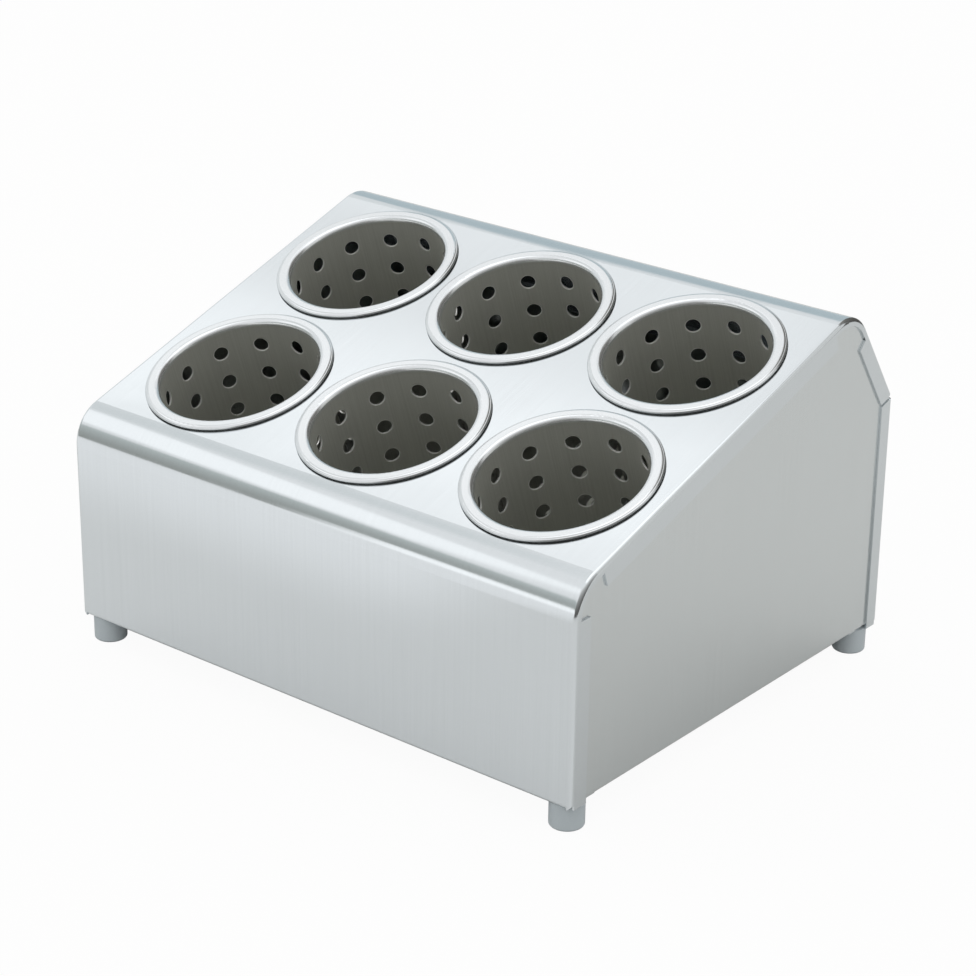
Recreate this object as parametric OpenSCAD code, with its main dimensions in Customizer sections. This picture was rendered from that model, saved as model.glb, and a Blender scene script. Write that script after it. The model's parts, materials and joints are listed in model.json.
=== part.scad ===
// Counter-top cutlery cylinder holder in stainless sheet.
// A folded housing with a sloping deck carries six perforated cylinders, which hang
// by their rolled rims in the deck's holes and lift out along the deck's normal.
// X runs along the front, Y from front to back and Z up; Z = 0 is the foot bottoms.

/* [Cylinders] */
// Inside diameter of a cylinder
tube_d = 97; // [85:0.5:110]
// Sheet thickness of a cylinder
tube_t = 0.8; // [0.6:0.1:1.2]
// Height of a cylinder from its rim's outer edge to its foot
tube_h = 136; // [100:1:160]
// Width of the rolled rim, outwards from the inside of the wall
rim_w = 8.5; // [7.5:0.1:12]
// Height of the rolled rim
rim_h = 2.3; // [2.2:0.1:6]
// Outer radius of the bend from the wall into the rim
rim_r = 3.2; // [2:0.1:3.3]
// Outer radius of the rim's rolled edge
rim_edge_r = 2; // [1.3:0.1:2.1]
// Outer radius of the bend at the foot of the wall
foot_bend_r = 2; // [1.5:0.1:3]
// Width of the ledge that the foot of the wall turns in, which carries the base
ledge_w = 5; // [4:0.5:9]
// Thickness of the base disc
base_t = 1; // [0.8:0.1:2]
// Gap between the base disc's edge and the bend at the foot of the wall
base_play = 0.2; // [0.1:0.1:1]
// Height of the rim's outer edge above the deck at rest
rest_gap = 0.25; // [0.1:0.05:0.6]
// Diameter of a perforation
perf_d = 9; // [5:0.5:12]
// Perforations round the wall
perf_columns = 12; // [8:1:14]
// Distance between rows of perforations down the wall
perf_pitch = 21; // [16:0.5:30]
// Depth of the first row of perforations below the rim's outer edge
perf_top = 14.8; // [10:0.1:24]
// Rings of perforations in the base, round the one in its middle
base_rings = 2; // [1:1:3]
// Base left between the outer ring of perforations and the ledge
base_margin = 2.6; // [1:0.1:10]

/* [Housing] */
// Sheet thickness of the housing
sheet_t = 1.2; // [0.9:0.1:1.6]
// Slope of the deck in degrees
deck_slope = 18.5; // [12:0.5:25]
// Gap between neighbouring rims
rim_gap = 7; // [4:0.5:20]
// Deck left beside the outer rims
side_margin = 10; // [7:0.5:30]
// Deck in front of the front rims, to the corner that the front bend rounds off
front_margin = 19.5; // [17:0.5:50]
// Deck behind the rear rims, to the corner that the ridge bend rounds off
rear_margin = 19.5; // [17:0.5:50]
// Radial play of a cylinder in its deck hole
hole_play = 1.5; // [0.8:0.1:3]
// Height of the front cylinders' feet above the housing's lower edge
foot_clear = 8.7; // [4:0.1:30]
// Outer radius of the bend between front and deck
front_bend_r = 25; // [12:0.5:28]
// Outer radius of the bend between deck and bevel
ridge_bend_r = 25; // [12:0.5:28]
// Depth that the bevel takes up behind the ridge
bevel_run = 45; // [40:0.5:70]
// Angle of the bevel below the horizontal, in degrees
bevel_angle = 56; // [48:0.5:62]

/* [Folded edges] */
// Outer radius of the folds along the housing's edges
edge_r = 2.5; // [2:0.1:3.5]
// Width of the front face's side flanges
front_flange = 13; // [9:0.5:20]
// Width of the deck's side flanges
deck_flange = 13.5; // [9:0.5:20]
// Width of the bevel's side flanges
bevel_flange = 11.5; // [8:0.5:16]
// Width of the back panel's side flanges
back_flange = 11; // [8:0.5:16]
// Width of the short lip that carries on round the bends
lip_w = 4.5; // [4:0.1:7]
// Distance from a bend to the end of the next flange
flange_relief = 5.5; // [2:0.1:8]
// Slant of the bevel flange's upper end
relief_slant = 2; // [0.5:0.1:4]
// Gap along the mitre between bevel flange and back flange
mitre_gap = 1.6; // [0.6:0.1:3]
// Diameter of the relief hole at the outer end of that mitre
mitre_hole_d = 4; // [2:0.1:6]
// Corner cut off the front face's lower corners
corner_cut = 3; // [1:0.1:5]
// Length of the back panel's upper edge that laps under the bevel
lap_w = 14; // [8:0.5:24]
// Gap between sheets that lie against each other
sheet_gap = 0.05; // [0.03:0.01:0.3]
// Gap between a side panel's edge and the folds round it
panel_gap = 0.3; // [0.1:0.1:1]

/* [Feet] */
// Diameter of a foot
foot_d = 20; // [16:0.5:40]
// Height of a foot
foot_h = 16; // [12:0.5:40]
// Radius of a foot's lower edge
foot_edge_r = 1.5; // [0.5:0.1:3]
// Distance from the housing's faces to the foot's side
foot_margin = 1.5; // [1:0.1:10]
// Shank diameter of a foot screw
screw_d = 5; // [4:0.5:6]
// Head diameter of a foot screw
screw_head_d = 9; // [8:0.5:10]
// Head height of a foot screw
screw_head_h = 3.2; // [2.6:0.1:4]
// Width of the hexagon socket in the head, across its flats
socket_w = 4; // [3:0.5:5]
// Depth of that socket
socket_depth = 1.8; // [1:0.1:2]
// Clearance round the shank, on the diameter
screw_play = 0.4; // [0.2:0.1:1]
// Clearance round the head, on the diameter
head_play = 1.5; // [0.5:0.1:3]
// Plastic left above the screw's head
foot_seat_t = 7; // [3:0.5:10]
// Diameter of a foot washer
washer_d = 10; // [9.5:0.5:14]
// Thickness of a foot washer
washer_t = 1; // [0.6:0.1:2]
// Width of a foot nut across its flats
nut_w = 8; // [7:0.5:10]
// Height of a foot nut
nut_h = 4; // [3:0.1:6]
// Length of shank that stands out of the nut
screw_end = 1.5; // [0.5:0.1:4]
// Sheet left beside the washer on the inward edge of a bottom return
return_margin = 8.5; // [3:0.5:20]

/* [Hidden] */
$fn = 96;
STEEL = "#c9cdd0";
DECK_STEEL = "#d8dcdf";
PERFORATED_STEEL = "#a9aaa8";
FOOT_GREY = "#b9c3c8";
ZINC = "#8f9499";

// Columns and rows of cylinders, and how far each cylinder happens to be turned in its hole;
// the wall's seam, midway between two columns of perforations, points that way
LEFT = -1;
MIDDLE = 0;
RIGHT = 1;
FRONT = 0;
REAR = 1;
TURNS = [[195.4, 160, 197], [11, 20, 198]];

// Rounds a derived length to a hundredth of a millimetre
function hundredth(x) = round(x * 100) / 100;

// Bends stand this much proud of the flats, so that each flat ends inside its bend
bend_grow = 0.02;
// Angle by which a bend reaches over the flats at its two ends
bend_lap = 0.5;
// Cutters reach this far past what they cut
past = 1;
// Longer than any part of the housing
far = 1000;

tube_r = tube_d / 2;
tube_out_r = tube_r + tube_t;
rim_d = tube_d + 2 * rim_w;
pitch = rim_d + rim_gap;
hole_d = 2 * (tube_out_r + hole_play);
tube_foot = rest_gap - tube_h;
base_r = tube_r - (foot_bend_r - tube_t) - base_play;
perf_rows = floor((tube_h - perf_top - foot_bend_r - base_t - perf_d) / perf_pitch) + 1;
base_perf_pitch = (base_r - ledge_w - base_margin - perf_d / 2) / base_rings;

body_w = 2 * pitch + rim_d + 2 * side_margin;
half_w = body_w / 2;
deck_len = front_margin + rim_d + pitch + rear_margin;
half_d = hundredth((deck_len * cos(deck_slope) + bevel_run) / 2);
front_turn = 90 - deck_slope;
ridge_turn = deck_slope + bevel_angle;
front_setback = front_bend_r * tan(front_turn / 2);
ridge_setback = ridge_bend_r * tan(ridge_turn / 2);
deck_flat = deck_len - front_setback - ridge_setback;
row_s = [front_margin + rim_d / 2, front_margin + rim_d / 2 + pitch];

// Heights above the feet's bottoms
sheet_z = foot_h;
front_h = foot_clear + (tube_h - rest_gap) * cos(deck_slope) + (tube_out_r - row_s[FRONT]) * sin(deck_slope);
front_bend_y = front_bend_r - half_d;
front_bend_z = hundredth(sheet_z + front_h - front_setback);
corner_z = front_bend_z + front_setback;
ridge_y = deck_len * cos(deck_slope) - half_d;
ridge_z = corner_z + deck_len * sin(deck_slope);
back_z = ridge_z - bevel_run * tan(bevel_angle);
bevel_len = bevel_run / cos(bevel_angle);
mitre_turn = (90 - bevel_angle) / 2;

foot_inset = foot_d / 2 + foot_margin;
return_w = foot_inset + washer_d / 2 + return_margin;
return_half_w = half_w - edge_r - past;
stack_t = 2 * sheet_t + sheet_gap;
screw_seat_z = foot_h - foot_seat_t;
washer_z = sheet_z + stack_t;
nut_z = washer_z + washer_t;

// Frames

// Y across the depth and Z up, seen as X and Y of a flat drawing that is extruded along X
module side_view() {
    rotate([90, 0, 90]) children();
}

// Origin on the deck's face where the front bend ends, Y up the slope and Z off the deck
module deck_frame() {
    translate([0, front_bend_y, front_bend_z]) rotate([deck_slope, 0, 0])
        translate([0, 0, front_bend_r]) children();
}

// Origin on the bevel's face where the ridge bend ends, Y down the bevel and Z off it
module bevel_frame() {
    deck_frame() translate([0, deck_flat, -ridge_bend_r]) rotate([-ridge_turn, 0, 0])
        translate([0, 0, ridge_bend_r]) children();
}

// Origin at the middle of a deck hole
module hole_frame(column, row) {
    deck_frame() translate([column * pitch, row_s[row] - front_setback, 0]) children();
}

module both_sides() {
    children();
    mirror([1, 0, 0]) children();
}

module at_feet() {
    for (x = [-1, 1], y = [-1, 1])
        translate([x * (half_w - foot_inset), y * (half_d - foot_inset), 0]) children();
}

// Folded sheet

// Section of a sheet with a fold and a flange at both sides; its outer face is on the X axis
module channel(flange, grow = 0) {
    flat_w = 2 * (half_w - edge_r);
    translate([-flat_w / 2, -sheet_t - grow]) square([flat_w, sheet_t + 2 * grow]);
    both_sides() translate([half_w - edge_r, -edge_r]) {
        intersection() {
            difference() {
                circle(edge_r + grow);
                circle(edge_r - sheet_t - grow);
            }
            square(edge_r + grow);
        }
        translate([edge_r - sheet_t - grow, edge_r - flange - grow])
            square([sheet_t + 2 * grow, flange + grow - edge_r]);
    }
}

// Straight length of channel along Y, outer face up
module run(len, flange) {
    translate([0, len, 0]) rotate([90, 0, 0]) linear_extrude(len) channel(flange);
}

// Bend of the sheet about the X axis, with its short lip, from one angle by another
module bend(r, start, turn) {
    side_view() rotate_extrude(start = start - bend_lap, angle = turn + 2 * bend_lap)
        translate([r, 0]) rotate(-90) channel(lip_w, bend_grow);
}

// Takes a flange down to the lip over a length from the end of a run; slant leans the flange's new end
module flange_notch(flange, len, slant = 0) {
    translate([-half_w - past, 0, 0]) side_view() linear_extrude(body_w + 2 * past)
        polygon([[-past, -lip_w], [len, -lip_w], [len + slant, -flange - past], [-past, -flange - past]]);
}

// Section of an edge that turns in: a fold round the origin and a plate that reaches out along X
module turned_edge(len) {
    intersection() {
        difference() {
            circle(edge_r);
            circle(edge_r - sheet_t);
        }
        translate([-edge_r, -edge_r]) square(edge_r);
    }
    translate([0, -edge_r]) square([len - edge_r, sheet_t]);
}

// Bottom edge of the front face, turned in at the floor of the housing
module bottom_return() {
    translate([-return_half_w, edge_r - half_d, sheet_z + edge_r]) side_view()
        linear_extrude(2 * return_half_w) turned_edge(return_w);
}

// Upright sheet with side flanges, its face at the front; its lower edge makes room for the bottom return
module upright(height, flange) {
    difference() {
        translate([0, -half_d, sheet_z]) rotate([90, 0, 0]) run(height, flange);
        translate([-return_half_w, -half_d - past, sheet_z - past])
            cube([2 * return_half_w, edge_r + past, edge_r + past]);
        both_sides() translate([half_w, -half_d, sheet_z]) rotate([0, 45, 0])
            cube([corner_cut * sqrt(2), 2 * edge_r, corner_cut * sqrt(2)], center = true);
    }
    bottom_return();
}

// Half plane on one side of the mitre between bevel flange and back flange, in the side view
module mitre_side(upper) {
    edge = upper ? -mitre_gap / 2 : mitre_gap / 2 - far;
    translate([half_d, back_z]) rotate(mitre_turn) translate([-far / 2, edge]) square([far, far]);
}

// What the mitre and its relief hole take off a sheet's folded side edges
module mitre_cut(upper) {
    both_sides() translate([half_w - edge_r - past, 0, 0]) side_view() linear_extrude(edge_r + 2 * past) {
        mitre_side(upper);
        translate([half_d, back_z]) rotate(mitre_turn)
            translate([-mitre_hole_d / 2, 0]) circle(d = mitre_hole_d);
    }
}

module screw_holes() {
    at_feet() translate([0, 0, sheet_z - past]) cylinder(d = screw_d + screw_play, h = stack_t + 2 * past);
}

// Housing

module bevel_run_sheet() {
    difference() {
        bevel_frame() difference() {
            run(bevel_len - ridge_setback + 2 * edge_r, bevel_flange);
            flange_notch(bevel_flange, flange_relief, relief_slant);
        }
        translate([-far / 2, half_d, 0]) cube(far);
        mitre_cut(false);
    }
}

module deck_sheet() {
    difference() {
        deck_frame() difference() {
            run(deck_flat, deck_flange);
            flange_notch(deck_flange, flange_relief);
            translate([0, deck_flat, 0]) mirror([0, 1, 0]) flange_notch(deck_flange, flange_relief);
        }
        for (column = [LEFT:RIGHT], row = [FRONT:REAR])
            hole_frame(column, row) cylinder(d = hole_d, h = 4 * sheet_t, center = true);
    }
}

module deck_shell() color(DECK_STEEL) difference() {
    union() {
        upright(front_bend_z - sheet_z, front_flange);
        deck_frame() {
            translate([0, 0, -front_bend_r]) bend(front_bend_r, 90, front_turn);
            translate([0, deck_flat, -ridge_bend_r]) bend(ridge_bend_r, 90 - ridge_turn, ridge_turn);
        }
        deck_sheet();
        bevel_run_sheet();
    }
    screw_holes();
}

module back_panel() color(STEEL) difference() {
    union() {
        mirror([0, 1, 0]) difference() {
            upright(back_z - sheet_z, back_flange);
            mirror([0, 1, 0]) mitre_cut(true);
        }
        // Upper edge, leaned over to lap under the bevel
        translate([-return_half_w, 0, 0]) side_view() linear_extrude(2 * return_half_w) lap_section();
    }
    // What would stand in the bevel's sheet
    translate([-far / 2, 0, 0]) side_view() linear_extrude(far) bevel_band();
    screw_holes();
}

// Inside face of the bevel and everything beyond it, in the side view
module bevel_band() {
    translate([half_d, back_z]) rotate(-bevel_angle)
        translate([-far / 2, -sheet_t - sheet_gap]) square([far, far]);
}

// Section of the back panel's lapped edge, in the side view
module lap_section() {
    intersection() {
        translate([half_d, back_z]) rotate(-bevel_angle)
            translate([-lap_w, -2 * sheet_t - sheet_gap]) square([2 * lap_w, sheet_t]);
        translate([half_d - far, 0]) square([far, far]);
    }
}

// Points along an arc in the side view
function arc(c, r, a0, a1, steps = 8) = [
    for (i = [0:steps]) let (a = a0 + (a1 - a0) * i / steps) c + r * [cos(a), sin(a)]
];

// Outline of a side panel, inside the folds of the sheets round it
module side_outline() {
    inset = edge_r + panel_gap;
    front_c = [front_bend_y, front_bend_z];
    ridge_c = [
        ridge_y - ridge_setback * cos(deck_slope) + ridge_bend_r * sin(deck_slope),
        ridge_z - ridge_setback * sin(deck_slope) - ridge_bend_r * cos(deck_slope)
    ];
    polygon(concat(
        [[inset - half_d, sheet_z + sheet_t + sheet_gap + edge_r]],
        arc(front_c, front_bend_r - inset, 180, 90 + deck_slope),
        arc(ridge_c, ridge_bend_r - inset, 90 + deck_slope, 90 - bevel_angle),
        [
            [half_d - inset, back_z - inset * tan(mitre_turn)],
            [half_d - inset, sheet_z + sheet_t + sheet_gap + edge_r]
        ]
    ));
}

// Right-hand side panel; the left one is its mirror image
module side_panel() {
    face_x = half_w - sheet_t - sheet_gap;
    panel_d = 2 * (half_d - edge_r - panel_gap);
    translate([face_x - sheet_t, 0, 0]) side_view() linear_extrude(sheet_t) side_outline();
    translate([face_x - edge_r, panel_d / 2, sheet_z + sheet_t + sheet_gap + edge_r])
        rotate([90, 0, 0]) linear_extrude(panel_d) mirror([1, 0]) turned_edge(return_w - sheet_t);
}

module right_side_panel() color(STEEL) difference() {
    side_panel();
    screw_holes();
}

module left_side_panel() color(STEEL) difference() {
    mirror([1, 0, 0]) side_panel();
    screw_holes();
}

// Cylinders

// Quarter of a ring of sheet whose outer radius is r
module quarter_ring(r) {
    intersection() {
        difference() {
            circle(r);
            circle(r - tube_t);
        }
        square(r);
    }
}

// Section of a cylinder's wall, from the ledge at its foot to the rolled rim
module wall_section() {
    rim_z = rest_gap + rim_h;
    wall_z = tube_foot + foot_bend_r;
    // Wall
    translate([tube_r, wall_z]) square([tube_t, rim_z - rim_r - wall_z]);
    // Rim, rolled outwards and down
    translate([tube_r + rim_r, rim_z - rim_r]) mirror([1, 0]) quarter_ring(rim_r);
    translate([tube_r + rim_r, rim_z - tube_t]) square([rim_w - rim_r - rim_edge_r, tube_t]);
    translate([tube_r + rim_w - rim_edge_r, rim_z - rim_edge_r]) quarter_ring(rim_edge_r);
    translate([tube_r + rim_w - tube_t, rest_gap]) square([tube_t, rim_h - rim_edge_r]);
    // Ledge, turned in
    translate([tube_out_r - foot_bend_r, wall_z]) mirror([0, 1]) quarter_ring(foot_bend_r);
    translate([tube_r - ledge_w, tube_foot]) square([tube_out_r - foot_bend_r - tube_r + ledge_w, tube_t]);
}

module cylinder_wall(column, row) color(PERFORATED_STEEL)
    hole_frame(column, row) rotate(TURNS[row][column + 1]) difference() {
        rotate_extrude() wall_section();
        for (i = [0:perf_columns - 1], j = [0:perf_rows - 1])
            rotate((i + 0.5) * 360 / perf_columns)
                translate([tube_r - past, 0, rest_gap - perf_top - j * perf_pitch])
                rotate([0, 90, 0]) cylinder(d = perf_d, h = tube_t + 2 * past);
    }

// Perforated disc that lies on the ledge at the foot of a cylinder's wall
module cylinder_base(column, row) color(PERFORATED_STEEL)
    hole_frame(column, row) rotate(TURNS[row][column + 1])
    translate([0, 0, tube_foot + tube_t]) difference() {
        cylinder(r = base_r, h = base_t);
        translate([0, 0, -past]) cylinder(d = perf_d, h = base_t + 2 * past);
        for (ring = [1:base_rings], i = [0:6 * ring - 1])
            rotate(i * 60 / ring) translate([ring * base_perf_pitch, 0, -past])
                cylinder(d = perf_d, h = base_t + 2 * past);
    }

// Feet

// Moulded foot, counterbored from below for its screw
module foot(x, y) color(FOOT_GREY) translate([x * (half_w - foot_inset), y * (half_d - foot_inset), 0])
    rotate_extrude() difference() {
        union() {
            translate([0, foot_edge_r]) square([foot_d / 2, foot_h - foot_edge_r]);
            square([foot_d / 2 - foot_edge_r, foot_h]);
            translate([foot_d / 2 - foot_edge_r, foot_edge_r]) circle(foot_edge_r);
        }
        translate([-past, -past]) square([(screw_d + screw_play) / 2 + past, foot_h + 2 * past]);
        translate([-past, -past]) square([(screw_head_d + head_play) / 2 + past, screw_seat_z + past]);
    }

module foot_screws() color(ZINC) at_feet() {
    translate([0, 0, screw_seat_z - screw_head_h]) difference() {
        cylinder(d = screw_head_d, h = screw_head_h);
        translate([0, 0, -past]) cylinder(d = socket_w / cos(30), h = socket_depth + past, $fn = 6);
    }
    translate([0, 0, screw_seat_z]) cylinder(d = screw_d, h = nut_z + nut_h + screw_end - screw_seat_z);
}

module foot_washers() color(ZINC) at_feet() translate([0, 0, washer_z]) difference() {
    cylinder(d = washer_d, h = washer_t);
    translate([0, 0, -past]) cylinder(d = screw_d + screw_play, h = washer_t + 2 * past);
}

module foot_nuts() color(ZINC) at_feet() translate([0, 0, nut_z]) difference() {
    cylinder(d = nut_w / cos(30), h = nut_h, $fn = 6);
    translate([0, 0, -past]) cylinder(d = screw_d + screw_play / 2, h = nut_h + 2 * past);
}

deck_shell();
left_side_panel();
right_side_panel();
back_panel();
cylinder_wall(LEFT, FRONT);  // front_left_cylinder
cylinder_wall(MIDDLE, FRONT);  // front_middle_cylinder
cylinder_wall(RIGHT, FRONT);  // front_right_cylinder
cylinder_wall(LEFT, REAR);  // rear_left_cylinder
cylinder_wall(MIDDLE, REAR);  // rear_middle_cylinder
cylinder_wall(RIGHT, REAR);  // rear_right_cylinder
cylinder_base(LEFT, FRONT);  // front_left_base
cylinder_base(MIDDLE, FRONT);  // front_middle_base
cylinder_base(RIGHT, FRONT);  // front_right_base
cylinder_base(LEFT, REAR);  // rear_left_base
cylinder_base(MIDDLE, REAR);  // rear_middle_base
cylinder_base(RIGHT, REAR);  // rear_right_base
foot(-1, -1);  // front_left_foot
foot(1, -1);  // front_right_foot
foot(-1, 1);  // rear_left_foot
foot(1, 1);  // rear_right_foot
foot_screws();
foot_washers();
foot_nuts();
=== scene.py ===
"""Looks of a counter-top cutlery cylinder holder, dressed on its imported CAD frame.

The holder is a folded stainless housing with a sloping deck, in which six perforated
cylinders hang by their rolled rims. Lengths in this file are in millimetres and are
turned to metres where a mesh, a lamp or a node takes them.
"""

import json
import logging
import math
from dataclasses import dataclass
from enum import Enum

import bmesh
import bpy
from mathutils import Matrix, Vector


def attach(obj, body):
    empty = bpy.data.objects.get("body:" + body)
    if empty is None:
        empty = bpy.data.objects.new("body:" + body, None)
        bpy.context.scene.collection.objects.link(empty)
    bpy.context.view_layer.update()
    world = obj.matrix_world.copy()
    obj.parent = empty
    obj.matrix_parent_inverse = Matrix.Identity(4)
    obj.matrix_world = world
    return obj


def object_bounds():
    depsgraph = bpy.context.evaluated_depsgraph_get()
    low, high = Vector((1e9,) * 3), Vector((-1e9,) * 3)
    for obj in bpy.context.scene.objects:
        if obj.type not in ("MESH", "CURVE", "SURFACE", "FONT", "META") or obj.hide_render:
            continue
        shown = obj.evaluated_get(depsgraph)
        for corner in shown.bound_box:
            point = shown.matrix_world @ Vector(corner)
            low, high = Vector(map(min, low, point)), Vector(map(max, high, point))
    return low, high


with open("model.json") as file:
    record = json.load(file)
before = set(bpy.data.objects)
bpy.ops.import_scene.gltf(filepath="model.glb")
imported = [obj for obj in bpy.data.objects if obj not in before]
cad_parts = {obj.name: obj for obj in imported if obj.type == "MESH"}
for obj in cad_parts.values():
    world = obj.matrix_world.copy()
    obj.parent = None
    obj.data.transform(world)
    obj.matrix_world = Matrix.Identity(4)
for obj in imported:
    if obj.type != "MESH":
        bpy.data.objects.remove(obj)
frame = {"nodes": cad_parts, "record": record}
CAD_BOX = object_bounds()

MM = 0.001
# Points nearer than this, in millimetres, are merged
SAME_POINT = 0.001
log = logging.getLogger("cutlery_cylinder_holder")


def linear(hex_colour: str) -> tuple[float, float, float, float]:
    """Turns an sRGB hex colour into linear RGBA.

    Args:
        hex_colour: Colour written as "#rrggbb".

    Returns:
        The linear red, green and blue, with an alpha of one.
    """
    channels = [int(hex_colour[i : i + 2], 16) / 255 for i in (1, 3, 5)]
    red, green, blue = (
        c / 12.92 if c <= 0.04045 else ((c + 0.055) / 1.055) ** 2.4 for c in channels
    )
    return red, green, blue, 1.0


def add_node(
    tree: bpy.types.NodeTree, kind: str, inputs: dict | None = None, **settings: object
) -> bpy.types.Node:
    """Adds a node with its settings, and sets or links its inputs.

    Args:
        tree: Node tree that takes the node.
        kind: Blender's name of the node type.
        inputs: Socket name or number to a constant or to another node's output.
        settings: Properties of the node itself.

    Returns:
        The new node.
    """
    node = tree.nodes.new(kind)
    for name, value in settings.items():
        setattr(node, name, value)
    for socket, value in (inputs or {}).items():
        if isinstance(value, bpy.types.NodeSocket):
            tree.links.new(value, node.inputs[socket])
        else:
            node.inputs[socket].default_value = value
    return node


def new_material(name: str) -> tuple[bpy.types.Material, bpy.types.NodeTree]:
    """Makes a material with an empty node tree.

    Args:
        name: Name of the real material.

    Returns:
        The material and its tree.
    """
    made = bpy.data.materials.new(name)
    made.use_nodes = True
    made.node_tree.nodes.clear()
    return made, made.node_tree


def object_place(tree: bpy.types.NodeTree) -> bpy.types.NodeSocket:
    """Gives a tree the place on the object, in the frame's metres."""
    return add_node(tree, "ShaderNodeTexCoord").outputs["Object"]


def calculate(tree: bpy.types.NodeTree, operation: str, *values: object) -> bpy.types.NodeSocket:
    """Adds a maths node.

    Args:
        tree: Node tree that takes it.
        operation: Blender's name of the operation.
        values: Constants or outputs, in the node's order.

    Returns:
        Its result.
    """
    inputs = dict(enumerate(values))
    return add_node(tree, "ShaderNodeMath", inputs, operation=operation).outputs["Value"]


def mix_colours(
    tree: bpy.types.NodeTree, factor: bpy.types.NodeSocket, *ends: object
) -> bpy.types.NodeSocket:
    """Mixes two colours.

    Args:
        tree: Node tree that takes the node.
        factor: Share of the second colour.
        ends: The two colours, each as "#rrggbb" or as another node's output.

    Returns:
        The mixed colour.
    """
    low, high = (linear(end) if isinstance(end, str) else end for end in ends)
    inputs = {"Factor": factor, "A": low, "B": high}
    return add_node(tree, "ShaderNodeMix", inputs, data_type="RGBA").outputs["Result"]


def grade(
    tree: bpy.types.NodeTree,
    value: bpy.types.NodeSocket,
    span: tuple[float, float],
    to: tuple[float, float] = (0.0, 1.0),
    smooth: bool = True,
) -> bpy.types.NodeSocket:
    """Turns a stretch of values into another one, held at its ends.

    Args:
        tree: Node tree that takes the node.
        value: The value.
        span: Where the stretch starts and ends.
        to: What it becomes there.
        smooth: Whether it leaves and reaches its ends softly.

    Returns:
        The new value.
    """
    inputs = {
        "Value": value,
        "From Min": span[0],
        "From Max": span[1],
        "To Min": to[0],
        "To Max": to[1],
    }
    kind = "SMOOTHSTEP" if smooth else "LINEAR"
    node = add_node(tree, "ShaderNodeMapRange", inputs, interpolation_type=kind)
    return node.outputs["Result"]


def noise(
    tree: bpy.types.NodeTree, place: bpy.types.NodeSocket, scale: float, detail: float, **more: float
) -> bpy.types.NodeSocket:
    """Adds an irregular pattern.

    Args:
        tree: Node tree that takes the node.
        place: Coordinates of the pattern.
        scale: Spots to a unit of the coordinates.
        detail: Steps of finer pattern in it.
        more: The node's further inputs.

    Returns:
        The pattern, from none to one.
    """
    inputs = {"Vector": place, "Scale": scale, "Detail": detail, **more}
    return add_node(tree, "ShaderNodeTexNoise", inputs).outputs["Fac"]


def relief(
    tree: bpy.types.NodeTree, height: bpy.types.NodeSocket, depth: float, **more: object
) -> bpy.types.NodeSocket:
    """Turns a pattern into bumps.

    Args:
        tree: Node tree that takes the node.
        height: The pattern.
        depth: Height of the bumps in millimetres, below none for hollows.
        more: The node's further inputs.

    Returns:
        The bumped normal.
    """
    inputs = {"Height": height, "Strength": 1.0, "Distance": abs(depth) * MM, **more}
    return add_node(tree, "ShaderNodeBump", inputs, invert=depth < 0).outputs["Normal"]


def set_surface(tree: bpy.types.NodeTree, shader: bpy.types.NodeSocket) -> None:
    """Makes a shader the surface of its material."""
    add_node(tree, "ShaderNodeOutputMaterial", {"Surface": shader})


def set_finish(tree: bpy.types.NodeTree, inputs: dict) -> None:
    """Makes a finish of colour, gloss and relief the surface of its material."""
    set_surface(tree, add_node(tree, "ShaderNodeBsdfPrincipled", inputs).outputs["BSDF"])


class Row(Enum):
    """Rows of cylinders, front to back."""

    FRONT = "front"
    REAR = "rear"


class Column(Enum):
    """Columns of cylinders, left to right."""

    LEFT = "left"
    MIDDLE = "middle"
    RIGHT = "right"


class Grain(Enum):
    """Direction across which the brushed lines of a sheet follow each other."""

    ALONG_WIDTH = (1.0, 0.0, 0.0)
    ALONG_DEPTH = (0.0, 1.0, 0.0)


@dataclass(frozen=True)
class Well:
    """Place of one cylinder, read from its stated bore."""

    name: str
    # Top end of the bore's straight wall, in metres
    mouth: Vector
    axis: Vector
    radius: float
    depth: float

    @classmethod
    def of(cls, row: Row, column: Column) -> "Well":
        """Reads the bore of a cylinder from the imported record.

        Args:
            row: Row of the cylinder.
            column: Column of the cylinder.

        Returns:
            Its place.
        """
        name = f"{row.value}_{column.value}"
        stated = next(m for m in frame["record"]["mounts"] if m["name"] == f"{name}_well")
        axis = Vector(stated["axis"]).normalized()
        depth = stated["dims"]["length_mm"]
        mouth = Vector(stated["pos_m"]) + axis * (depth / 2 * MM)
        return cls(name, mouth, axis, stated["dims"]["r_mm"], depth)

    @property
    def tilt(self) -> float:
        """Lean of the axis about the width, in radians."""
        return math.atan2(-self.axis.y, self.axis.z)

    def coordinates(self, tree: bpy.types.NodeTree) -> bpy.types.NodeSocket:
        """Gives a material the cylinder's own upright frame.

        Args:
            tree: Node tree of the material.

        Returns:
            Coordinates with Z along the axis, from the mouth, in metres.
        """
        return add_node(
            tree,
            "ShaderNodeMapping",
            {
                "Vector": object_place(tree),
                "Location": self.mouth,
                "Rotation": (self.tilt, 0.0, 0.0),
            },
            vector_type="TEXTURE",
        ).outputs["Vector"]

    def matrix(self, turn: float) -> Matrix:
        """Places a shape made round Z on the cylinder.

        Args:
            turn: Degrees that the shape is turned about the axis.

        Returns:
            Matrix from the cylinder's own millimetres to metres.
        """
        return (
            Matrix.Translation(self.mouth)
            @ Matrix.Rotation(self.tilt, 4, "X")
            @ Matrix.Rotation(math.radians(turn), 4, "Z")
            @ Matrix.Scale(MM, 4)
        )


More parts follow.
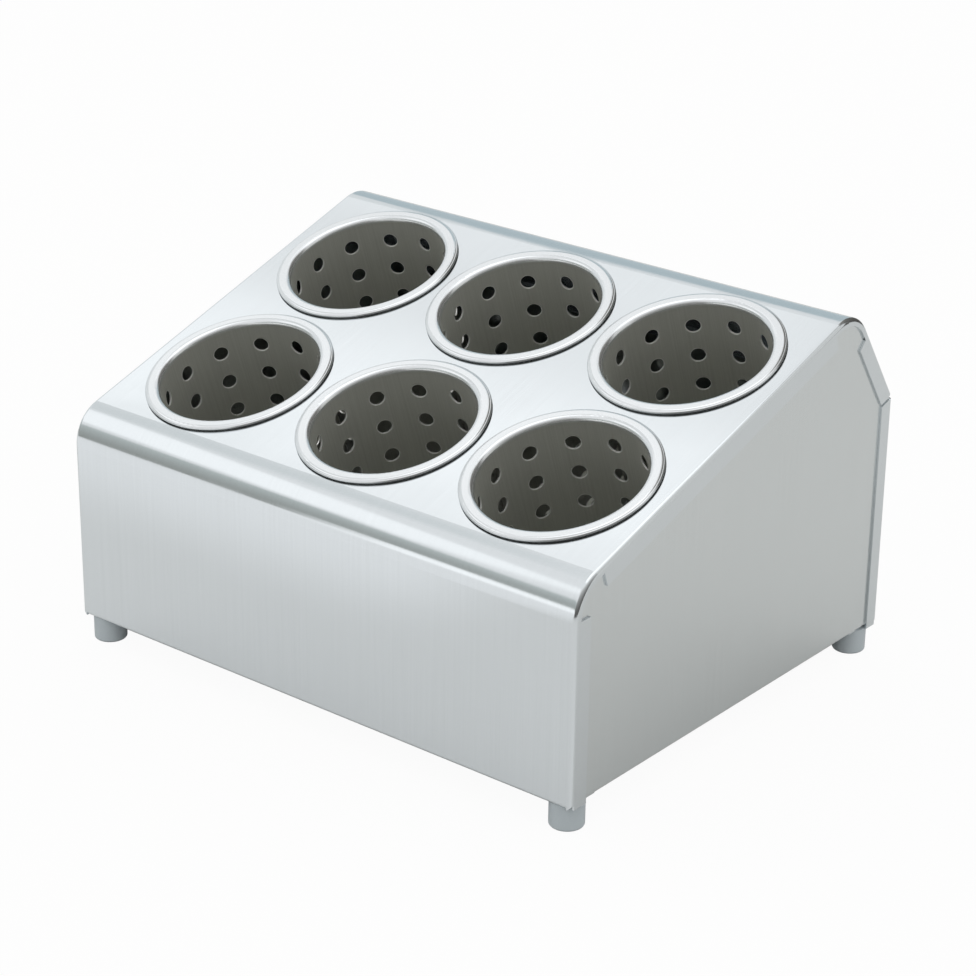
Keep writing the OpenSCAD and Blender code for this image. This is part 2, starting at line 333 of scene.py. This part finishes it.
@dataclass(frozen=True)
class BrushedStainless:
    """Cold-rolled stainless sheet, brushed with a fine belt.

    The brushing gives the eye faint parallel lines, a soft blur of what the sheet
    mirrors, and slow cloudy changes of gloss from handling and wiping.
    """

    name: str
    tint: str
    shade: str
    roughness: float
    grain: Grain
    # A real line is about 0.1 mm wide; it is drawn wider so that it shows in the render
    line_width: float = 0.7
    line_length: float = 90.0
    line_detail: float = 4.0
    line_variety: float = 0.6
    line_depth: float = 0.002
    cloud_size: float = 55.0
    cloud_detail: float = 2.0
    cloud_bend: float = 0.4
    # Stretch of the cloudy pattern over which the gloss changes
    cloud_span: tuple[float, float] = (0.3, 0.7)
    gloss_change: float = 0.05

    def material(self) -> bpy.types.Material:
        """Makes the material of this sheet."""
        made, tree = new_material(self.name)
        place = object_place(tree)
        across = 1 / (self.line_width * MM)
        along = 1 / (self.line_length * MM)
        scale = [across if axis else along for axis in self.grain.value]
        stretched = add_node(tree, "ShaderNodeMapping", {"Vector": place, "Scale": scale})
        lines = noise(
            tree, stretched.outputs["Vector"], 1.0, self.line_detail, Roughness=self.line_variety
        )
        cloud = noise(
            tree, place, 1 / (self.cloud_size * MM), self.cloud_detail, Distortion=self.cloud_bend
        )
        half_change = self.gloss_change / 2
        gloss = (self.roughness - half_change, self.roughness + half_change)
        set_finish(
            tree,
            {
                "Base Color": mix_colours(tree, lines, self.shade, self.tint),
                "Metallic": 1.0,
                "Roughness": grade(tree, cloud, self.cloud_span, gloss, smooth=False),
                "Normal": relief(tree, lines, self.line_depth),
            },
        )
        return made


@dataclass(frozen=True)
class Perforation:
    """Pattern of the punched holes in a cylinder's wall."""

    diameter: float = 9.0
    columns: int = 12
    pitch: float = 21.0
    # Depth of the first row below the straight wall's top end
    first_row: float = 13.9


@dataclass(frozen=True)
class PerforatedStainless:
    """Unpolished stainless sheet of a cylinder, with a buffed rim.

    The wall keeps the mill's dull warm grey with faint lines along the cylinder, and the
    punch leaves a rounded edge at each hole, painted near white as a painted highlight.
    The rim is buffed after rolling and mirrors the studio.
    """

    name: str
    holes: Perforation = Perforation()
    wall_tint: str = "#c6c7c0"
    wall_shade: str = "#b0b1a9"
    rim_tint: str = "#dcdfe1"
    # Painted highlight: near-white colour on the rounded edge of each hole
    edge_highlight_tint: str = "#fafaf6"
    wall_roughness: float = 0.5
    rim_roughness: float = 0.2
    wall_metallic: float = 0.7
    # A real line is about 0.1 mm wide; it is drawn wider so that it shows in the render
    line_width: float = 0.8
    line_length: float = 70.0
    line_detail: float = 3.0
    line_depth: float = 0.006
    # A punched edge is rounded over about 0.2 mm; it is drawn wider so that it shows
    edge_width: float = 0.75
    edge_depth: float = 0.25
    # Height above the mouth over which the dull wall passes into the buffed rim
    buffed_from: float = -1.5
    buffed_to: float = 2.6

    def material(self, well: "Well", turn: float) -> bpy.types.Material:
        """Makes the material of one cylinder.

        Args:
            well: Place and tilt of the cylinder, on which the lines are centred.
            turn: Degrees from the right-hand side to the wall's seam.

        Returns:
            The material.
        """
        made, tree = new_material(f"{self.name}_{well.name}")
        local = well.coordinates(tree)
        across = 1 / (self.line_width * MM)
        scale = (across, across, 1 / (self.line_length * MM))
        stretched = add_node(tree, "ShaderNodeMapping", {"Vector": local, "Scale": scale})
        lines = noise(tree, stretched.outputs["Vector"], 1.0, self.line_detail)
        axes = add_node(tree, "ShaderNodeSeparateXYZ", {"Vector": local}).outputs
        buffed = grade(tree, axes["Z"], (self.buffed_from * MM, self.buffed_to * MM))
        edge = self.punched_edge(tree, axes, well.radius, turn)
        wall = mix_colours(tree, lines, self.wall_shade, self.wall_tint)
        # Painted highlight: the wall turns near white at each hole's rounded edge
        punched = mix_colours(tree, edge, wall, self.edge_highlight_tint)
        gloss = (self.wall_roughness, self.rim_roughness)
        metal = (self.wall_metallic, 1.0)
        rounded = relief(tree, edge, -self.edge_depth)
        set_finish(
            tree,
            {
                "Base Color": mix_colours(tree, buffed, punched, self.rim_tint),
                "Metallic": grade(tree, buffed, (0.0, 1.0), metal, smooth=False),
                "Roughness": grade(tree, buffed, (0.0, 1.0), gloss, smooth=False),
                "Normal": relief(tree, lines, self.line_depth, Normal=rounded),
            },
        )
        return made

    def punched_edge(
        self, tree: bpy.types.NodeTree, axes: bpy.types.NodeOutputs, radius: float, turn: float
    ) -> bpy.types.NodeSocket:
        """Marks the rounded edge of each hole.

        Args:
            tree: Node tree of the material.
            axes: X, Y and Z in the cylinder's own frame.
            radius: Radius of the wall.
            turn: Degrees from the right-hand side to the seam, which lies between columns.

        Returns:
            One at a hole's edge, falling to none a little outside it.
        """
        column = 2 * math.pi * radius * MM / self.holes.columns
        half_pitch = self.holes.pitch * MM / 2
        start = column / 2 - math.radians(turn) * radius * MM
        angle = calculate(tree, "ARCTAN2", axes["Y"], axes["X"])
        round_wall = calculate(tree, "MULTIPLY_ADD", angle, radius * MM, start)
        below = calculate(tree, "ADD", axes["Z"], self.holes.first_row * MM)
        # The pattern would otherwise go on above the first row
        limited = calculate(tree, "MINIMUM", below, half_pitch)
        off_column = calculate(tree, "PINGPONG", round_wall, column / 2)
        off_row = calculate(tree, "PINGPONG", limited, half_pitch)
        away = add_node(tree, "ShaderNodeCombineXYZ", {"X": off_column, "Y": off_row})
        distance = add_node(
            tree, "ShaderNodeVectorMath", {0: away.outputs["Vector"]}, operation="LENGTH"
        )
        edge = self.holes.diameter / 2
        span = (edge * MM, (edge + self.edge_width) * MM)
        return grade(tree, distance.outputs["Value"], span, (1.0, 0.0))


@dataclass(frozen=True)
class BuffedHem:
    """Rolled stainless edge of a rim, buffed on top and dull underneath.

    The buffed top mirrors the studio with fine lines round the rim. The underside is painted
    near black and dull, a painted shade that draws a thin dark line on the deck along the shaded gap
    under the hem.
    """

    name: str
    tint: str = "#dcdfe1"
    shade: str = "#d3d6d8"
    # Painted shade: near-black colour of the hem's underside, standing in for the shade in the gap under
    # it
    underside_painted_shade: str = "#2a2926"
    roughness: float = 0.2
    painted_shade_roughness: float = 0.6
    # Height above the mouth over which the painted shade of the underside passes into the buffed steel
    painted_shade_to: tuple[float, float] = (1.4, 1.65)
    # A real line is about 0.1 mm wide; it is drawn wider so that it shows in the render
    line_width: float = 0.4
    line_detail: float = 2.0

    def material(self, well: "Well") -> bpy.types.Material:
        """Makes the material of one hem.

        Args:
            well: Place of the cylinder, round which the lines run.

        Returns:
            The material.
        """
        made, tree = new_material(f"{self.name}_{well.name}")
        local = well.coordinates(tree)
        axes = add_node(tree, "ShaderNodeSeparateXYZ", {"Vector": local}).outputs
        level = add_node(tree, "ShaderNodeCombineXYZ", {"X": axes["X"], "Y": axes["Y"]})
        radius = add_node(
            tree, "ShaderNodeVectorMath", {0: level.outputs["Vector"]}, operation="LENGTH"
        )
        section = add_node(
            tree, "ShaderNodeCombineXYZ", {"X": radius.outputs["Value"], "Y": axes["Z"]}
        )
        lines = noise(
            tree, section.outputs["Vector"], 1 / (self.line_width * MM), self.line_detail
        )
        # Painted shade below this height, buffed steel above it
        painted_shade_from, painted_shade_end = self.painted_shade_to
        buffed = grade(tree, axes["Z"], (painted_shade_from * MM, painted_shade_end * MM))
        steel = mix_colours(tree, lines, self.shade, self.tint)
        gloss = (self.painted_shade_roughness, self.roughness)
        set_finish(
            tree,
            {
                "Base Color": mix_colours(tree, buffed, self.underside_painted_shade, steel),
                "Metallic": buffed,
                "Roughness": grade(tree, buffed, (0.0, 1.0), gloss, smooth=False),
            },
        )
        return made


@dataclass(frozen=True)
class MouldedPlastic:
    """Injection-moulded polypropylene, light blue-grey with a fine spark-eroded grain."""

    name: str
    tint: str
    shade: str
    roughness: float = 0.48
    grain_size: float = 0.6
    grain_detail: float = 2.0
    grain_depth: float = 0.03

    def material(self) -> bpy.types.Material:
        """Makes the material of this plastic."""
        made, tree = new_material(self.name)
        grain = noise(tree, object_place(tree), 1 / (self.grain_size * MM), self.grain_detail)
        set_finish(
            tree,
            {
                "Base Color": mix_colours(tree, grain, self.shade, self.tint),
                "Roughness": self.roughness,
                "Normal": relief(tree, grain, self.grain_depth),
            },
        )
        return made


@dataclass(frozen=True)
class StudioPaper:
    """Matt white paper that the holder stands on."""

    name: str = "matt_white_paper"
    tint: str = "#d8d8d6"
    # Colour that scattered light meets, so that little of it comes back up into the housing
    bounce_tint: str = "#7d7d7b"
    # Share of plain white that the camera sees in the paper
    camera_lift: float = 0.95
    # Share of white glow that the steel mirrors in front of the holder, and more of it far to the left,
    # a painted pool of light on the paper
    mirror_lift: float = 0.32
    far_lift: float = 0.72
    # Stretches of depth and of width over which the two begin
    front_edge: tuple[float, float] = (-150.0, -175.0)
    far_floor: tuple[float, float] = (-265.0, -370.0)
    far_left: tuple[float, float] = (10.0, -120.0)

    def material(self) -> bpy.types.Material:
        """Makes the paper, which looks nearly white and keeps the holder's shadow."""
        made, tree = new_material(self.name)
        ray = add_node(tree, "ShaderNodeLightPath").outputs
        place = object_place(tree)
        axes = add_node(tree, "ShaderNodeSeparateXYZ", {"Vector": place}).outputs
        mirrored = calculate(tree, "MAXIMUM", ray["Is Glossy Ray"], ray["Is Transmission Ray"])
        ahead, far, left = (
            grade(tree, axes[axis], (start * MM, end * MM))
            for axis, (start, end) in (
                ("Y", self.front_edge),
                ("Y", self.far_floor),
                ("X", self.far_left),
            )
        )
        # Painted pool of light: where the paper glows white in the steel's reflections
        far_share = calculate(tree, "MULTIPLY", far, left)
        share = calculate(tree, "MULTIPLY_ADD", far_share, self.far_lift, self.mirror_lift)
        front = calculate(tree, "MULTIPLY", share, ahead)
        lit = calculate(tree, "MULTIPLY", mirrored, front)
        lift = calculate(tree, "MULTIPLY_ADD", ray["Is Camera Ray"], self.camera_lift, lit)
        colour = mix_colours(tree, ray["Is Diffuse Ray"], self.tint, self.bounce_tint)
        paper = add_node(tree, "ShaderNodeBsdfDiffuse", {"Color": colour})
        glow = add_node(tree, "ShaderNodeEmission", {"Strength": 1.0})
        both = add_node(
            tree,
            "ShaderNodeMixShader",
            {"Fac": lift, 1: paper.outputs["BSDF"], 2: glow.outputs["Emission"]},
        )
        set_surface(tree, both.outputs["Shader"])
        return made


@dataclass
class Housing:
    """Folded sheets of the housing."""

    sheet: BrushedStainless = BrushedStainless(
        "brushed_stainless_wrapper", "#dbe0e3", "#d2d7da", 0.14, Grain.ALONG_WIDTH
    )
    side_sheet: BrushedStainless = BrushedStainless(
        "brushed_stainless_side_sheet", "#dadedf", "#cfd3d4", 0.2, Grain.ALONG_DEPTH
    )

    def dress(self) -> None:
        """Gives the folded sheets their finishes."""
        wrapper = self.sheet.material()
        side = self.side_sheet.material()
        for name in ("deck_shell", "back_panel"):
            dress_node(name, wrapper)
        for name in ("left_side_panel", "right_side_panel"):
            dress_node(name, side)


@dataclass
class CutleryCylinder:
    """Perforated cylinder that hangs in one hole of the deck."""

    row: Row
    column: Column
    # Degrees from the right-hand side to the wall's welded seam
    seam_turn: float
    sheet: float = 0.8
    bead_width: float = 2.2
    bead_height: float = 0.35
    bead_sides: int = 12
    # Round section of the rim's hem, and its centre outside the bore and above its top end
    hem_radius: float = 0.95
    hem_out: float = 7.9
    hem_up: float = 1.7
    hem_sides: int = 24
    hem_steps: int = 144
    hem_finish: BuffedHem = BuffedHem("buffed_stainless_hem")
    steel: PerforatedStainless = PerforatedStainless("unpolished_stainless_cylinder")
    weld: BrushedStainless = BrushedStainless(
        "tungsten_arc_weld", "#a9a59c", "#8d8577", 0.35, Grain.ALONG_WIDTH
    )

    def dress(self) -> None:
        """Gives the wall and the base their finish, and adds the seam and the hem."""
        well = Well.of(self.row, self.column)
        finish = self.steel.material(well, self.seam_turn)
        for piece in ("cylinder", "base"):
            dress_node(f"{well.name}_{piece}", finish)
        self.add_seam(well)
        self.add_hem(well)

    def add_hem(self, well: Well) -> None:
        """Rolls the rim's outer edge into a closed round.

        Args:
            well: Place of the cylinder.
        """
        shape = bmesh.new()
        bmesh.ops.create_circle(shape, radius=self.hem_radius, segments=self.hem_sides)
        bmesh.ops.rotate(
            shape, matrix=Matrix.Rotation(math.pi / 2, 3, "X"), verts=shape.verts[:]
        )
        bmesh.ops.translate(
            shape, vec=(well.radius + self.hem_out, 0.0, self.hem_up), verts=shape.verts[:]
        )
        bmesh.ops.spin(
            shape,
            geom=[*shape.verts, *shape.edges],
            axis=(0.0, 0.0, 1.0),
            cent=(0.0, 0.0, 0.0),
            angle=2 * math.pi,
            steps=self.hem_steps,
            use_merge=True,
        )
        bmesh.ops.remove_doubles(shape, verts=shape.verts[:], dist=SAME_POINT)
        bmesh.ops.recalc_face_normals(shape, faces=shape.faces[:])
        shape.transform(well.matrix(0.0))
        hem = make_piece(f"{well.name}_rim_hem", shape, self.hem_finish.material(well))
        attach(hem, f"{well.name}_cylinder_body")

    def add_seam(self, well: Well) -> None:
        """Lays the weld bead down the outside of the wall.

        Args:
            well: Place of the cylinder.
        """
        outside = well.radius + self.sheet
        shape = bmesh.new()
        bmesh.ops.create_circle(shape, cap_ends=True, radius=1.0, segments=self.bead_sides)
        bmesh.ops.scale(
            shape, vec=(self.bead_height, self.bead_width / 2, 1.0), verts=shape.verts[:]
        )
        bmesh.ops.translate(shape, vec=(outside, 0.0, -well.depth), verts=shape.verts[:])
        grown = bmesh.ops.extrude_face_region(shape, geom=shape.faces[:])["geom"]
        top = [v for v in grown if isinstance(v, bmesh.types.BMVert)]
        bmesh.ops.translate(shape, vec=(0.0, 0.0, well.depth), verts=top)
        bmesh.ops.recalc_face_normals(shape, faces=shape.faces[:])
        shape.transform(well.matrix(self.seam_turn))
        seam = make_piece(f"{well.name}_weld_seam", shape, self.weld.material())
        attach(seam, f"{well.name}_cylinder_body")


@dataclass
class Feet:
    """Four moulded feet and what holds them."""

    plastic: MouldedPlastic = MouldedPlastic("moulded_polypropylene_foot", "#cbd4d8", "#bfc8cc")
    zinc: BrushedStainless = BrushedStainless(
        "zinc_plated_steel_fastener", "#b9bcbd", "#a3a6a8", 0.4, Grain.ALONG_WIDTH
    )

    def dress(self) -> None:
        """Gives the feet and the fasteners their finishes."""
        grey = self.plastic.material()
        plated = self.zinc.material()
        for row in Row:
            for side in (Column.LEFT, Column.RIGHT):
                dress_node(f"{row.value}_{side.value}_foot", grey)
        for name in ("foot_screws", "foot_washers", "foot_nuts"):
            dress_node(name, plated)


def make_piece(
    name: str, shape: bmesh.types.BMesh, material: bpy.types.Material, smooth: bool = True
) -> bpy.types.Object:
    """Turns a finished bmesh into an object of the scene.

    Args:
        name: Name of the piece.
        shape: Its mesh in the frame's metres, which is freed.
        material: Its material.
        smooth: Whether its faces shade smoothly.

    Returns:
        The new object.
    """
    mesh = bpy.data.meshes.new(name)
    shape.to_mesh(mesh)
    shape.free()
    mesh.materials.append(material)
    for face in mesh.polygons:
        face.use_smooth = smooth
    piece = bpy.data.objects.new(name, mesh)
    bpy.context.scene.collection.objects.link(piece)
    log.info("built %s, %d faces", name, len(mesh.polygons))
    return piece


def dress_node(name: str, material: bpy.types.Material) -> None:
    """Puts one material on a CAD node.

    Args:
        name: The node.
        material: Its new material.
    """
    data = frame["nodes"][name].data
    data.materials.clear()
    data.materials.append(material)
    log.info("dressed %s in %s", name, material.name)


def bearing(azimuth: float, elevation: float) -> Vector:
    """Direction from the holder towards a place round it.

    Args:
        azimuth: Degrees round from the front, towards the right-hand side.
        elevation: Degrees above the horizon.

    Returns:
        A unit vector.
    """
    a, e = math.radians(azimuth), math.radians(elevation)
    return Vector((math.sin(a) * math.cos(e), -math.cos(a) * math.cos(e), math.sin(e)))


@dataclass(frozen=True)
class Softbox:
    """Rectangular studio lamp that faces the holder."""

    name: str
    azimuth: float
    elevation: float
    distance: float
    width: float
    height: float
    # Brightness that the lamp's face adds to the white behind it
    brightness: float
    # Degrees that the lamp leans about the line to the holder
    lean: float = 0.0

    def place(self, target: Vector) -> None:
        """Hangs the lamp and turns it to the target.

        Args:
            target: Point that the lamp faces, in metres.
        """
        data = bpy.data.lights.new(self.name, "AREA")
        data.shape = "RECTANGLE"
        data.size = self.width * MM
        data.size_y = self.height * MM
        data.energy = self.brightness * math.pi * data.size * data.size_y
        lamp = bpy.data.objects.new(self.name, data)
        away = bearing(self.azimuth, self.elevation)
        lamp.matrix_world = (
            Matrix.Translation(target + away * self.distance * MM)
            @ away.to_track_quat("Z", "Y").to_matrix().to_4x4()
            @ Matrix.Rotation(math.radians(self.lean), 4, "Z")
        )
        lamp.visible_camera = False
        bpy.context.scene.collection.objects.link(lamp)


@dataclass(frozen=True)
class StudioFlat:
    """Wall that stands round a part of the studio and shows only in the steel."""

    name: str
    # Degrees round from the front, towards the right-hand side
    azimuth_from: float
    azimuth_to: float
    # Degrees above the horizon
    foot: float
    head: float
    low_tone: str
    high_tone: str
    strength: float = 1.0
    # Degrees over which its two ends fade into what stands behind
    soft: float = 0.5
    radius: float = 5000.0
    step: float = 3.0

    def build(self) -> None:
        """Stands the wall, unseen by the camera and without a shadow."""
        shape = bmesh.new()
        low, high = (
            self.radius * math.tan(math.radians(angle)) * MM for angle in (self.foot, self.head)
        )
        start = bearing(self.azimuth_from, 0.0) * self.radius * MM
        ends = [shape.verts.new(start + Vector((0.0, 0.0, z))) for z in (low, high)]
        post = shape.edges.new(ends)
        sweep = self.azimuth_to - self.azimuth_from
        bmesh.ops.spin(
            shape,
            geom=[*ends, post],
            axis=(0.0, 0.0, 1.0),
            cent=(0.0, 0.0, 0.0),
            angle=math.radians(sweep),
            steps=round(abs(sweep) / self.step),
        )
        flat = make_piece(self.name, shape, self.material(low, high), smooth=False)
        flat.visible_camera = False
        flat.visible_diffuse = False
        flat.visible_shadow = False

    def material(self, low: float, high: float) -> bpy.types.Material:
        """Makes the wall's glow, which grades from foot to head and fades at both ends.

        Args:
            low: Height of its foot, in metres.
            high: Height of its head, in metres.

        Returns:
            The material.
        """
        made, tree = new_material(self.name)
        middle = math.radians((self.azimuth_from + self.azimuth_to) / 2)
        half = math.radians(abs(self.azimuth_to - self.azimuth_from) / 2)
        # Turned so that X points to the middle of the wall
        turned = add_node(
            tree,
            "ShaderNodeMapping",
            {"Vector": object_place(tree), "Rotation": (0.0, 0.0, math.pi / 2 - middle)},
        ).outputs["Vector"]
        axes = add_node(tree, "ShaderNodeSeparateXYZ", {"Vector": turned}).outputs
        rise = grade(tree, axes["Z"], (low, high), smooth=False)
        tone = mix_colours(tree, rise, self.low_tone, self.high_tone)
        angle = calculate(tree, "ARCTAN2", axes["Y"], axes["X"])
        off = calculate(tree, "ABSOLUTE", angle)
        end = grade(tree, off, (half - math.radians(self.soft), half))
        glow = add_node(
            tree, "ShaderNodeEmission", {"Color": tone, "Strength": self.strength}
        )
        clear = add_node(tree, "ShaderNodeBsdfTransparent")
        faded = add_node(
            tree,
            "ShaderNodeMixShader",
            {"Fac": end, 1: glow.outputs["Emission"], 2: clear.outputs["BSDF"]},
        )
        set_surface(tree, faded.outputs["Shader"])
        return made


@dataclass
class Studio:
    """Floor, lamps and surrounding light."""

    paper: StudioPaper = StudioPaper()
    flats: tuple[StudioFlat, ...] = (
        StudioFlat("horizon_light", -37, 5, 0, 8.6, "#ffffff", "#ffffff", 1.35, soft=5, radius=1700),
        StudioFlat("front_left_flat", -75, 5, -1, 23.5, "#9b9d99", "#c9cfcd"),
        StudioFlat("left_flat", -131, -75, 2.5, 40, "#eef2f3", "#f4f6f6"),
        StudioFlat("back_left_flat", -180, -131, 2.5, 40, "#c3d0d5", "#c3d0d5"),
        StudioFlat("upper_left_flat", -119, -70, 43, 58, "#ecefef", "#ecefef", soft=20),
        StudioFlat("camera_card", 8, 105, 0, 56, "#4d4b48", "#f0f0ee", soft=8, radius=800),
        StudioFlat("right_flat", 105, 132, 2.5, 45, "#e2e2df", "#e2e2df"),
        StudioFlat("back_right_flat", 132, 200, -1, 62, "#4f4d4a", "#94928d", soft=6, radius=1500),
    )
    floor_size: float = 16000.0
    surround: str = "#ffffff"
    softboxes: tuple[Softbox, ...] = (
        Softbox("front_left_softbox", -55.2, 36, 2400, 1400, 850, 0.27),
        Softbox("back_left_strip", -115.7, 47.2, 2200, 240, 1150, 0.33, 36),
        Softbox("rear_strip", -125.6, 42.1, 2200, 180, 1150, 0.14, 36),
        Softbox("overhead_softbox", 0, 90, 2200, 1600, 1600, 0.5),
    )

    def build(self) -> None:
        """Lays the floor, hangs the lamps and sets the surrounding light."""
        shape = bmesh.new()
        bmesh.ops.create_grid(shape, x_segments=2, y_segments=2, size=self.floor_size * MM / 2)
        make_piece("studio_floor", shape, self.paper.material(), smooth=False)
        for flat in self.flats:
            flat.build()
        centre = (CAD_BOX[0] + CAD_BOX[1]) / 2
        for box in self.softboxes:
            box.place(centre)
        world = bpy.data.worlds.new("studio_surround")
        world.use_nodes = True
        tree = world.node_tree
        tree.nodes.clear()
        light = add_node(tree, "ShaderNodeBackground", {"Color": linear(self.surround), "Strength": 1.0})
        add_node(tree, "ShaderNodeOutputWorld", {"Surface": light.outputs["Background"]})
        bpy.context.scene.world = world


@dataclass
class PhotoCamera:
    """Camera at the photograph's viewing angle."""

    azimuth: float = 38.92
    elevation: float = 23.04
    roll: float = 0.75
    place: tuple[float, float, float] = (961.0, -1183.7, 750.8)
    focal_pixels: float = 2767.9
    image_pixels: float = 976.0
    sensor: float = 36.0
    # Metres that the camera sees
    reach: float = 100.0

    def build(self) -> None:
        """Sets up the camera and makes it the scene's."""
        data = bpy.data.cameras.new("photo_camera")
        data.sensor_width = self.sensor
        data.lens = self.focal_pixels / self.image_pixels * self.sensor
        data.clip_end = self.reach
        camera = bpy.data.objects.new("photo_camera", data)
        turn = (
            Matrix.Rotation(math.radians(self.azimuth), 4, "Z")
            @ Matrix.Rotation(math.radians(90 - self.elevation), 4, "X")
            @ Matrix.Rotation(math.radians(self.roll), 4, "Z")
        )
        camera.matrix_world = Matrix.Translation(Vector(self.place) * MM) @ turn
        bpy.context.scene.collection.objects.link(camera)
        bpy.context.scene.camera = camera


def main() -> None:
    """Dresses the holder and sets up the studio."""
    logging.basicConfig(level=logging.INFO, format="%(message)s")
    bpy.context.scene.view_settings.view_transform = "Standard"
    Housing().dress()
    cylinders = (
        CutleryCylinder(Row.FRONT, Column.LEFT, 195.4),
        CutleryCylinder(Row.FRONT, Column.MIDDLE, 160.0),
        CutleryCylinder(Row.FRONT, Column.RIGHT, 197.0),
        CutleryCylinder(Row.REAR, Column.LEFT, 11.0),
        CutleryCylinder(Row.REAR, Column.MIDDLE, 20.0),
        CutleryCylinder(Row.REAR, Column.RIGHT, 198.0),
    )
    for cylinder in cylinders:
        cylinder.dress()
    Feet().dress()
    Studio().build()
    PhotoCamera().build()


if __name__ == "__main__":
    main()
